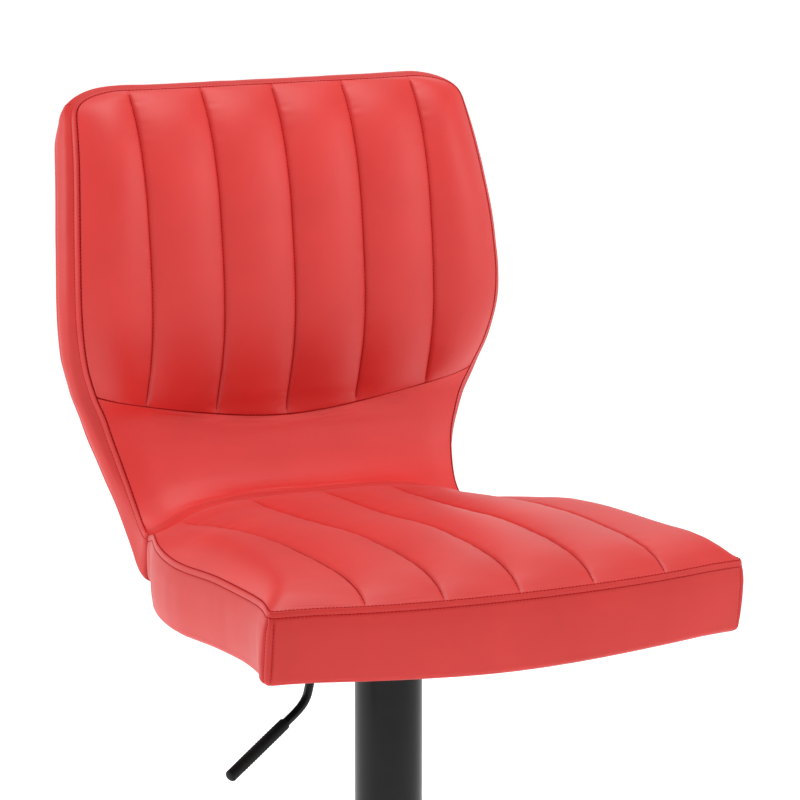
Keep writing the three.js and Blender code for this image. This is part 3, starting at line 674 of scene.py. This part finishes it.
def stitch_row(lines, name, radius=THREAD_R):
    """One piece of thread: stitches along lines, each a pair of point and outward normal arrays."""
    shape, shape_faces = capsule()
    points, faces = [], []
    for line_points, line_normals in lines:
        at = even_path(line_points, STITCH_PITCH)
        length = distances(line_points)
        normals = unit(read_off(np.linspace(0, length[-1], len(at)), length, line_normals))
        along = unit(np.gradient(at, axis=0))
        for i in range(1, len(at) - 1):
            up = unit(normals[i] - along[i] * normals[i].dot(along[i]))
            side = np.cross(up, along[i])
            local = shape * [STITCH_LENGTH, radius, radius]
            placed = at[i] + up * THREAD_LIFT + local @ np.stack([along[i], side, up])
            start = len(points) * len(shape)
            faces += [tuple(start + k for k in f) for f in shape_faces]
            points.append(placed)
    return settle(as_object(name, np.vstack(points), faces, THREAD), "seat", "red_leather")


def surface_line(t, x, hump, depth):
    """A line a little under the padding's face, and its outward normals."""
    inward = inward_at(t)
    return padding(t, x, hump(t, x)) + inward * depth, -inward


# ---- the pads -------------------------------------------------------------------------------------------

def seam_distance(x):
    """How far x is from the nearest channel seam."""
    return np.min(np.abs(x[..., None] - np.array(CHANNEL_SEAMS)), -1)


def pressed(near, t, x, depth, reach):
    """Draws the face in along the channel seams, with small puckers beside the thread."""
    nearest = seam_distance(x)
    line_in = np.exp(-((nearest / 1.3) ** 2))
    pucker = 0.35 * np.exp(-((nearest - 5) / 5) ** 2) * ripple(length_at(t) / 4.2, np.round(x / CHANNEL_W))
    shift = (pucker - depth * line_in) * reach
    return near - inward_at(t) * shift[..., None]


def stuffed(near, far, held, pressure):
    """The near face puffed out by a cloth simulation of the closed pad, held at its seams and its back."""
    pad = closed_sheet("stuffing", near, far, RED, merge=False)
    group = pad.vertex_groups.new(name="held")
    group.add(np.flatnonzero(held).tolist(), 1.0, "REPLACE")
    group.add((near.shape[0] * near.shape[1] + np.arange(held.size)).tolist(), 1.0, "REPLACE")
    cloth = pad.modifiers.new("cloth", "CLOTH")
    settings = cloth.settings
    settings.vertex_group_mass = "held"
    settings.quality = 4
    settings.mass = 0.25
    settings.tension_stiffness = settings.compression_stiffness = 12
    settings.shear_stiffness = 6
    settings.bending_stiffness = 8.0
    settings.shrink_min = 0.0
    settings.use_pressure = True
    settings.uniform_pressure_force = pressure
    settings.effector_weights.gravity = 0
    cloth.collision_settings.use_collision = False
    cloth.point_cache.frame_start, cloth.point_cache.frame_end = 1, SIM_FRAMES
    scene = bpy.context.scene
    for step in range(1, SIM_FRAMES + 1):
        scene.frame_set(step)
    moved = pad.evaluated_get(bpy.context.evaluated_depsgraph_get()).to_mesh()
    points = np.zeros(len(moved.vertices) * 3)
    moved.vertices.foreach_get("co", points)
    scene.frame_set(1)
    bpy.data.objects.remove(pad)
    shift = points.reshape(-1, 3)[: held.size].reshape(near.shape) / MM - near
    size = np.linalg.norm(shift, axis=-1, keepdims=True)
    return near + shift * np.minimum(1, MOST_PUFF / np.maximum(size, 1e-9))


def held_points(x, sewn):
    """The rim of a pad, and its channel seams where they are sewn."""
    held = (seam_distance(x) < 1.4) & sewn
    held[0], held[-1], held[:, 0], held[:, -1] = True, True, True, True
    return held


def seat_top():
    near, far, t, x = pad_grid(line(0), line(CREASE), 150, CELLS, seat_hump)
    near = stuffed(near, far, held_points(x, t < 9.7), FULL_PRESSURE)
    near = pressed(near, t, x, 1.3, listed(SEAT_HUMP_FADE, t) * rise(length_at(t), 10))
    piece = closed_sheet("seat_top", near, far, RED)
    return settle(piece, "seat", "red_padding", "seat_cushion")


def lower_back():
    near, far, _, x = pad_grid(line(CREASE), lambda x: channels_start(x) - 0.03, 60, 10, no_hump)
    near = stuffed(near, far, held_points(x, False), FAINT_PRESSURE)
    # The panel takes the copy of the leather painted lighter, which stands in for light against its shade.
    piece = closed_sheet("lower_back", near, far, PAINTED_LIGHTER_RED)
    return settle(piece, "seat", "red_padding", "back_lower_pad")


def back_cushion():
    near, far, t, x = pad_grid(lambda x: channels_start(x) + 0.03, line(LAST), 130, CELLS, back_hump)
    near = stuffed(near, far, held_points(x, True), FULL_PRESSURE)
    ends = rise(length_at(t) - length_at(channels_start(x)), 12) * rise(FINE_LENGTH[-1] - length_at(t), 10)
    near = pressed(near, t, x, 1.5, ends)
    piece = closed_sheet("back_cushion", near, far, RED)
    return settle(piece, "seat", "red_padding", "back_channel_pad")


# ---- the bands ------------------------------------------------------------------------------------------

def flat_side(t, side):
    """The seam along a side, and the direction down from it."""
    at = side_seam(t)[0]
    x = side * half_width(t)
    return np.stack([x, bowed(x, at[..., 0]), SEAM_Z + at[..., 1]], -1), inward_at(t)


def end_edge(t, count):
    """The seam across the front or the top, from left to right, and the direction down from it."""
    half = float(half_width(np.array([float(t)]))[0])
    x = np.linspace(-half, half, count)
    stations = np.full(count, float(t))
    return padding(stations, x, np.zeros(count)), inward_at(stations)


def rim(join, end):
    """The seam's path from the join on the left, round the front or the top, to the join on the right, with
    the directions outward and down, the stations, the distance along it and where its two corners are."""
    reach = length_at(end) - length_at(join)
    share = 1 - (1 - np.linspace(0, 1, 900)) ** 2
    t = station_of(length_at(join) + reach * share)
    left, left_down = flat_side(t, -1)
    right, right_down = flat_side(t[::-1], 1)
    across, across_down = end_edge(end, 900)
    path = np.vstack([left, across[1:-1], right])
    down = np.vstack([left_down, across_down[1:-1], right_down])
    stations = np.concatenate([t, np.full(len(across) - 2, float(end)), t[::-1]])
    along = distances(path)
    course = unit(np.gradient(left, axis=0))
    turned_in = along[int(np.argmax(np.abs(course[:, 0]) > 0.7))]
    corners = [turned_in, along[-1] - turned_in]
    near_end = np.linspace(0, 12, 16)
    at = [np.arange(0, along[-1], 3.2), [along[-1]], near_end, along[-1] - near_end]
    at += [corner + np.arange(-9, 9.1, 0.4) for corner in corners]
    at = np.unique(np.round(np.concatenate(at), 2))
    at = at[np.concatenate([[True], np.diff(at) > 0.3])]
    path = read_off(at, along, path)
    down = unit(read_off(at, along, down))
    outward = unit(np.cross(unit(np.gradient(path, at, axis=0)), down))
    middle = len(path) // 2
    towards = np.array([0, 0, 1.0]) if end else np.array([0, -1.0, 0])
    if outward[middle] @ towards < 0:
        outward = -outward
    return {"path": path, "outward": outward, "down": down, "t": np.interp(at, along, stations),
            "at": at, "corners": corners}


def shell_ring(outer, thickness):
    """A closed profile: the outer line, and the same line drawn in by the leather's thickness."""
    tangent = unit(np.gradient(outer, axis=1))
    inner = outer - np.stack([tangent[..., 1], -tangent[..., 0]], -1) * thickness
    return np.concatenate([outer, inner[:, ::-1]], 1)


def band_profile(depth, bulge, hem, bottom_r):
    """Outer line of a band under its seam: a raised strip to the topstitching, a bulged side and a hem.
    Columns are outward and down; depth and bulge change from station to station."""
    lines = []
    for d, b in zip(depth, bulge):
        low = d - bottom_r
        side = [
            (-1.2, 3.4), (-0.5, 1.3), (0.6, 0.2), (1.6, 1.0), (2.2, 2.6), (2.35, STRIP_W - 0.9),
            (1.9, STRIP_W), (2.6, STRIP_W + 0.9),
        ]
        body = []
        for u in np.linspace(0.2, 1, 6):
            swell = 3.1 + (b - 3.1) * math.sin(math.pi * min(1.0, u * 0.95)) ** 0.55
            body.append((swell, STRIP_W + 1 + (low - STRIP_W - 1) * u))
        corner_out = body[-1][0]
        arc = []
        for u in np.linspace(0.2, 1, 5):
            turn = u * math.pi / 2
            arc.append((corner_out - bottom_r * (1 - math.cos(turn)), low + bottom_r * math.sin(turn)))
        tail = [(arc[-1][0] - hem * 0.5, d + 0.3), (arc[-1][0] - hem, d - 0.4)]
        lines.append(smoothed(np.array(side + body + arc + tail), BAND_POINTS))
    return np.array(lines)


def along_unevenly(at, amount):
    """How much a band stands out unevenly along its length, as stuffed leather does."""
    return amount * ripple(at / 17)


def drawn_in(outer, edge, depth_in, reach, corner_seams):
    """The band's profile with its sewn ends rolled in, and the double seams down its front corners."""
    at = edge["at"]
    ends = np.minimum(at, at[-1] - at)
    roll = -depth_in * (1 - rise(ends, reach))
    if corner_seams:
        below = smoothstep(outer[..., 1], STRIP_W - 1, STRIP_W + 3)
        for corner in edge["corners"]:
            off = np.abs(at - corner)
            line_in = -1.3 * np.exp(-(((off - CORNER_STRIP) / 0.6) ** 2))
            strip = 0.7 * (1 - smoothstep(off, CORNER_STRIP - 0.8, CORNER_STRIP))
            outer[..., 0] += (line_in + strip)[:, None] * below
    outer[..., 0] += roll[:, None]
    return outer


def band_rings(edge, outer):
    return sections(edge["path"], edge["outward"], edge["down"], shell_ring(outer, 1.6))


def seat_band():
    """The band round the seat, a little deeper at the middle of the front and shallower at its ends."""
    edge = rim(BAND_JOIN, 0)
    t, at = edge["t"], edge["at"]
    sag = 5 * np.exp(-((edge["path"][:, 0] / 120) ** 2)) * (t == 0)
    ends = np.minimum(at, at[-1] - at)
    depth = band_depth(t) + listed(BAND_TRIM, t) + sag - 4 * (1 - rise(ends, 28))
    sides = np.clip(t / 1.2, 0, 1)
    bulge = 4.8 + 2.2 * sides - 3 * smoothstep(t, 6, 10) + along_unevenly(at, 0.3)
    edge["outer"] = drawn_in(band_profile(depth, bulge, 22, 6.5), edge, 7, 12, True)
    # The band takes the copy of the leather painted darker, as painted shade.
    piece = swept("seat_side_band", band_rings(edge, edge["outer"]), PAINTED_DARKER_RED)
    settle(piece, "seat", "red_leather", "seat_band")
    return edge


def back_band():
    """The band round the back. It flares towards the rear, and its upper corners are drawn in there."""
    edge = rim(BAND_JOIN + 0.02, LAST)
    t, at = edge["t"], edge["at"]
    depth = band_depth(t) + 4 * (1 - smoothstep(t, 10, 11.5)) - 2 * (1 - smoothstep(t, 12, 15))
    top = smoothstep(t, LAST - 1, LAST)
    waist = np.exp(-(((t - 17) / 1.8) ** 2))
    foot = 1 - smoothstep(t, 10, 15)
    bulge = 6.5 + 3.0 * waist + 4.0 * top - 4.5 * foot + along_unevenly(at, 0.25)
    outer = band_profile(depth, bulge, 15, 8)
    to_rear = np.clip(outer[..., 1] / depth[:, None], 0, 1)
    flare = (FLARE + 3 * waist) * smoothstep(t, CREASE, CREASE + 5) * np.abs(edge["outward"][:, 0])
    outer[..., 0] += flare[:, None] * to_rear
    corner = np.exp(-((np.min([np.abs(at - c) for c in edge["corners"]], 0) / 20) ** 2))
    outer[..., 0] -= 8 * corner[:, None] * to_rear**1.5
    edge["outer"] = drawn_in(outer, edge, 3, 5, False)
    # The band takes the copy of the leather painted darker, as painted shade.
    piece = swept("back_side_band", band_rings(edge, edge["outer"]), PAINTED_DARKER_RED)
    settle(piece, "seat", "red_leather", "back_band")
    return edge


def shell_grid(start, end, down, across):
    """Stations between two lengths along the side seam, and places across from -1 to 1, both as a grid.
    down and across are shares from 0 to 1."""
    return np.meshgrid(station_of(start + (end - start) * down), 2 * across - 1, indexing="ij")


def rear_cover():
    """The plain panel behind the back, slightly puffed, sewn in at the band's hem."""
    t, across = shell_grid(length_at(BAND_JOIN + 0.1), FINE_LENGTH[-1] - 4, eased(120, 0.7), eased(60, 0.7))
    x = across * (half_width(t) + FLARE * smoothstep(t, CREASE, CREASE + 5) - 6)
    puff_w = 14
    edge = rise((1 - np.abs(across)) * 190, puff_w) * rise(FINE_LENGTH[-1] - length_at(t) - 3.9, puff_w)
    edge = edge * rise(length_at(t) - length_at(BAND_JOIN), puff_w)
    near_depth = band_depth(t) - 2 + 3.6 * edge + 0.25 * ripple(x / 31, length_at(t) / 37) * edge
    near, far = under_seam(t, x, near_depth), under_seam(t, x, band_depth(t) - 2.6)
    # The cover takes the copy of the leather painted darker, as painted shade.
    piece = closed_sheet("rear_cover", near, far, PAINTED_DARKER_RED)
    return settle(piece, "seat", "red_leather", "back_rear_cover")


def plywood_shell():
    """The bent plywood sheet inside the seat and the back."""
    t, across = shell_grid(length_at(0.3), FINE_LENGTH[-1] - 8, np.linspace(0, 1, 140), eased(24, 0.6))
    x = across * (half_width(t) - 22)
    near, far = under_seam(t, x, band_depth(t) - 3.4), under_seam(t, x, band_depth(t) - 12.4)
    piece = closed_sheet("plywood_shell", near, far, PLYWOOD)
    return settle(piece, "seat", "plywood", "seat_shell")


def under_lining():
    """The dust cover under the seat, stretched over the shell."""
    t, across = shell_grid(length_at(1.0), length_at(BAND_JOIN - 0.1), eased(90, 0.5), eased(60, 0.5))
    x = across * (half_width(t) - 12)
    level = band_depth(t) - 1.2 + 0.35 * ripple(x / 23, side_seam(t)[0][..., 0] / 29)
    piece = closed_sheet("under_lining", under_seam(t, x, level), under_seam(t, x, level - 0.8), LINING)
    return settle(piece, "seat", "black_lining", "seat_lining")


# ---- threads --------------------------------------------------------------------------------------------

def sew(seat_rim, back_rim):
    """Every line of stitching: the channels, the seam under them, the borders and the corners."""
    channels = []
    for x0 in CHANNEL_SEAMS:
        t = station_of(np.linspace(length_at(0.1), length_at(9.3), 160))
        channels.append(surface_line(t, np.full_like(t, float(x0)), seat_hump, 0.9))
        start = float(channels_start(np.array([float(x0)]))[0])
        t = station_of(np.linspace(length_at(start) + 2, FINE_LENGTH[-1] - 2, 160))
        channels.append(surface_line(t, np.full_like(t, float(x0)), back_hump, 1.1))
    stitch_row(channels, "channel_thread")

    edge = float(half_width(np.array([float(CHANNELS_START_SIDE)]))[0]) - 2
    x = np.linspace(-edge, edge, 200)
    stitch_row([surface_line(channels_start(x), x, no_hump, 0.2)], "panel_thread")

    borders, tops, uprights = [], [], []
    for edge in (seat_rim, back_rim):
        path, outward, down = edge["path"], edge["outward"], edge["down"]
        borders.append((path + down * 0.1 + outward * 0.2, unit(outward - 2 * down)))
        # Only the upper part of a band's profile runs steadily down.
        line_out = np.array([np.interp(STRIP_W, o[:20, 1], o[:20, 0]) for o in edge["outer"]])
        tops.append((path + outward * line_out[:, None] + down * STRIP_W, outward))
    for corner in seat_rim["corners"]:
        for side in (-CORNER_STRIP, CORNER_STRIP):
            uprights.append(down_band(seat_rim, corner + side))
    uprights += [down_band(seat_rim, end) for end in (1.5, seat_rim["at"][-1] - 1.5)]
    uprights += [down_band(back_rim, corner) for corner in back_rim["corners"]]
    stitch_row(borders, "seam_thread", 0.46)
    stitch_row(tops, "topstitch_thread", 0.42)
    stitch_row(uprights, "corner_thread")


def down_band(edge, place):
    """A line down the outside of a band at a distance along it, with its normals."""
    i = int(np.argmin(np.abs(edge["at"] - place)))
    section = edge["outer"][i]
    kept = section[(section[:, 1] > STRIP_W + 1) & (section[:, 0] > -4)]
    points = edge["path"][i] + kept[:, :1] * edge["outward"][i] + kept[:, 1:] * edge["down"][i]
    return points, np.repeat(edge["outward"][i][None], len(points), 0)


# ---- the turned and bent parts --------------------------------------------------------------------------

def reach_of(node_name):
    """A node's radius from its box, and its lowest and highest z, in millimetres."""
    lowest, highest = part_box(node_name)
    return highest.x / MM, lowest.z / MM, highest.z / MM


def base_parts():
    radius, bottom, top = reach_of("base_plate")
    steel = 2
    outline = [(radius, 11), (radius - 8, 16.5), (150, 20), (100, 24), (62, 31), (42, 42), (34, top)]
    outer = smoothed(outline, 70)
    tangent = unit(np.gradient(outer, axis=0))
    inner = outer - np.stack([tangent[:, 1], -tangent[:, 0]], -1) * steel
    skirt = rounded([(radius - steel, 10), (radius - steel, bottom), (radius, bottom), (radius, 10.5)], 0.9)
    profile = np.vstack([skirt[ROUNDING:-ROUNDING], outer, inner[::-1]])
    plate = turned("base_cover", profile, BLACK_METAL, 192)
    settle(plate, "base", "black_metal", "base_plate")

    foot, bottom, top = reach_of("floor_pad")
    under = foot - 3
    profile = [(0, 0), (foot - 1.5, 0), (foot, 1.5), (foot, 3.5), (under, 3.5), (under, top), (0, top)]
    settle(turned("foot_pad", profile, RUBBER, 192), "base", "black_rubber", "floor_pad")

    bore = COLUMN_R + BUSH_GAP
    profile = [(bore, 50), (31.4, 50), (31.4, 56.3), (36, 56.3), (35, 60), (30, 66), (bore, 67)]
    ring = turned("column_trim_ring", rounded(profile, 1.6), PLASTIC)
    settle(ring, "base", "black_plastic", "base_trim_ring")


def column_parts():
    tubes = [("column_tube", "base", "stand_tube", 0.5), ("outer_sleeve", "seat", "sleeve_tube", 0.6)]
    for name, body, node_name, edge_r in tubes:
        radius, bottom, top = reach_of(node_name)
        bore = radius - TUBE_WALL
        profile = rounded([(bore, bottom), (radius, bottom), (radius, top), (bore, top)], edge_r)
        settle(turned(name, profile, BLACK_METAL), body, "black_metal", node_name)
    # The lip closes the lower end of the sleeve, the last of the tubes.
    bore = COLUMN_R + BUSH_GAP
    inside = SLEEVE_R - TUBE_WALL - 0.3
    lip = bottom - 0.3
    profile = [(bore, lip - 4), (SLEEVE_R - 1.5, lip - 4), (SLEEVE_R, lip - 2), (SLEEVE_R, lip),
               (inside, lip), (inside, lip + 22), (bore, lip + 22)]
    bush = turned("sleeve_lip", rounded(profile, 0.6), PLASTIC)
    settle(bush, "seat", "black_plastic", "sleeve_end_bush")


def capped(path, radius, ends):
    """Rings of a bar whose ends are rounded off over a distance."""
    length = distances(path)
    near_end = np.minimum(length, length[-1] - length)
    return tube_rings(path, radius * np.maximum(rise(near_end, ends), 0.12))


def with_round_ends(points, step, ends):
    """An even path whose points stand closer at both ends."""
    path = even_path(points, 0.25)
    fine = int(ends / 0.25)
    skip = int(step / 0.25)
    return np.vstack([path[:fine], path[fine:-fine:skip], path[-fine:]])


def footrest():
    radius, bottom, top = reach_of("footrest_collar")
    bore = COLUMN_R + BUSH_GAP
    profile = rounded([(bore, bottom), (radius, bottom), (radius, top), (bore, top)], 2.2)
    collar = turned("footrest_clamp", profile, BLACK_METAL)
    settle(collar, "base", "black_metal", "footrest_collar")
    ends = math.radians(148)
    turn = np.linspace(-ends, ends, 15)
    y = -FOOTREST_CENTRE - (FOOTREST_REACH - FOOTREST_R - FOOTREST_CENTRE) * np.cos(turn)
    oval = np.stack([(FOOTREST_HALF_W - FOOTREST_R) * np.sin(turn), y, np.full(15, float(FOOTREST_Z))], -1)
    inside = radius - 4
    points = np.vstack([[(-inside, -4, FOOTREST_Z)], oval, [(inside, -4, FOOTREST_Z)]])
    rings = tube_rings(even_path(smoothed(points, 400), 3.0), FOOTREST_R, 32)
    settle(swept("footrest_ring", rings, BLACK_METAL), "base", "black_metal", "footrest_bar")


def lever():
    along = np.array([-math.cos(LEVER_TURN), -math.sin(LEVER_TURN)])

    def at(reach, drop):
        return [*(along * reach), LEVER_Z - drop]

    start, end = np.array(at(123, 71)), np.array(at(191, 109))
    places = [(-6, 0), (20, 0), (44, 0), (63, 1), (80, 8), (91, 24), (96, 44), (100, 54), (108, 62)]
    route = [at(reach, drop) for reach, drop in places] + [start, start + (end - start) * 0.45]
    route.append(start + (end - start) * 0.85)
    path = with_round_ends(smoothed(route, 500), 2.0, 3.0)
    rod = swept("lever_handle", capped(path, LEVER_R, 3.0), BLACK_METAL)
    settle(rod, "lever", "black_metal", "lever_rod")

    grip_path = with_round_ends(np.array([start, end]), 0.5, 3.5)
    length = np.linalg.norm(grip_path - start, axis=1)
    rib_pitch = 3.2
    ribbed = smoothstep(length, 8, 14) * smoothstep(-length, -66, -60)
    ribs = 0.22 * np.sin(length * 2 * np.pi / rib_pitch) * ribbed
    rings = capped(grip_path, GRIP_R - 0.2 + ribs, 3.5)
    settle(swept("lever_sheath", rings, RUBBER), "lever", "black_rubber", "lever_grip")


def soft_parts():
    padded = [seat_top(), lower_back(), back_cushion()]
    seat_rim, back_rim = seat_band(), back_band()
    rear_cover()
    plywood_shell()
    under_lining()
    sew(seat_rim, back_rim)


# ---- camera, floor and light ----------------------------------------------------------------------------

def camera():
    data = bpy.data.cameras.new("camera")
    data.lens = 198
    data.sensor_width = 36
    data.clip_start = 0.1
    data.clip_end = 200
    made = bpy.data.objects.new("camera", data)
    bpy.context.scene.collection.objects.link(made)
    made.location = CAMERA_PLACE
    made.rotation_mode = "QUATERNION"
    made.rotation_quaternion = Vector(CAMERA_VIEW).to_track_quat("-Z", "Y")
    bpy.context.scene.camera = made


def floor():
    """A white floor with a low wall far away, so that no view looks past its edge."""
    material, nodes, links, bsdf = new_material("studio_floor")
    cloud = noise_node(nodes, links, 3, 2)
    coloured(nodes, links, bsdf, cloud, (0.93, 0.93, 0.93), (0.95, 0.95, 0.95))
    bsdf.inputs["Roughness"].default_value = 0.9
    bsdf.inputs["Specular IOR Level"].default_value = 0.0
    bsdf.inputs["Emission Color"].default_value = (1, 1, 1, 1)
    bsdf.inputs["Emission Strength"].default_value = 0.61
    steps = 64
    turn = np.linspace(0, 2 * np.pi, steps, endpoint=False)
    round_edge = FLOOR_REACH * np.stack([np.cos(turn), np.sin(turn), np.zeros(steps)], -1)
    points = np.vstack([round_edge, round_edge + [0, 0, FLOOR_REACH / 5]])
    faces = [tuple(range(steps))]
    faces += [(i, (i + 1) % steps, steps + (i + 1) % steps, steps + i) for i in range(steps)]
    made = as_object("studio_floor", points, faces, material)


def soft_light(name, place, target, size, power):
    data = bpy.data.lights.new(name, "AREA")
    data.shape = "DISK"
    data.size = size
    data.energy = power
    made = bpy.data.objects.new(name, data)
    bpy.context.scene.collection.objects.link(made)
    made.location = place
    made.rotation_mode = "QUATERNION"
    made.rotation_quaternion = (Vector(target) - Vector(place)).to_track_quat("-Z", "Y")


def lights():
    world = bpy.data.worlds.new("studio")
    world.use_nodes = True
    back = world.node_tree.nodes["Background"]
    back.inputs["Color"].default_value = (1, 1, 1, 1)
    back.inputs["Strength"].default_value = 0.43
    bpy.context.scene.world = world
    soft_light("front", (2.3, -1.8, 1.9), (0, 0, 0.7), 1.4, 23)
    soft_light("left", (-2.6, 1.3, 1.5), (0, 0.1, 0.7), 1.6, 36)
    soft_light("top", (0, -0.3, 3.0), (0, 0, 0.7), 1.8, 39)
    soft_light("rear", (1.3, 1.9, 2.4), (0, 0, 0.7), 1.4, 6)
    view = bpy.context.scene.view_settings
    view.view_transform = "Standard"
    view.look = "None"


camera()
floor()
lights()
dress_cad_nodes()
base_parts()
column_parts()
footrest()
lever()
soft_parts()
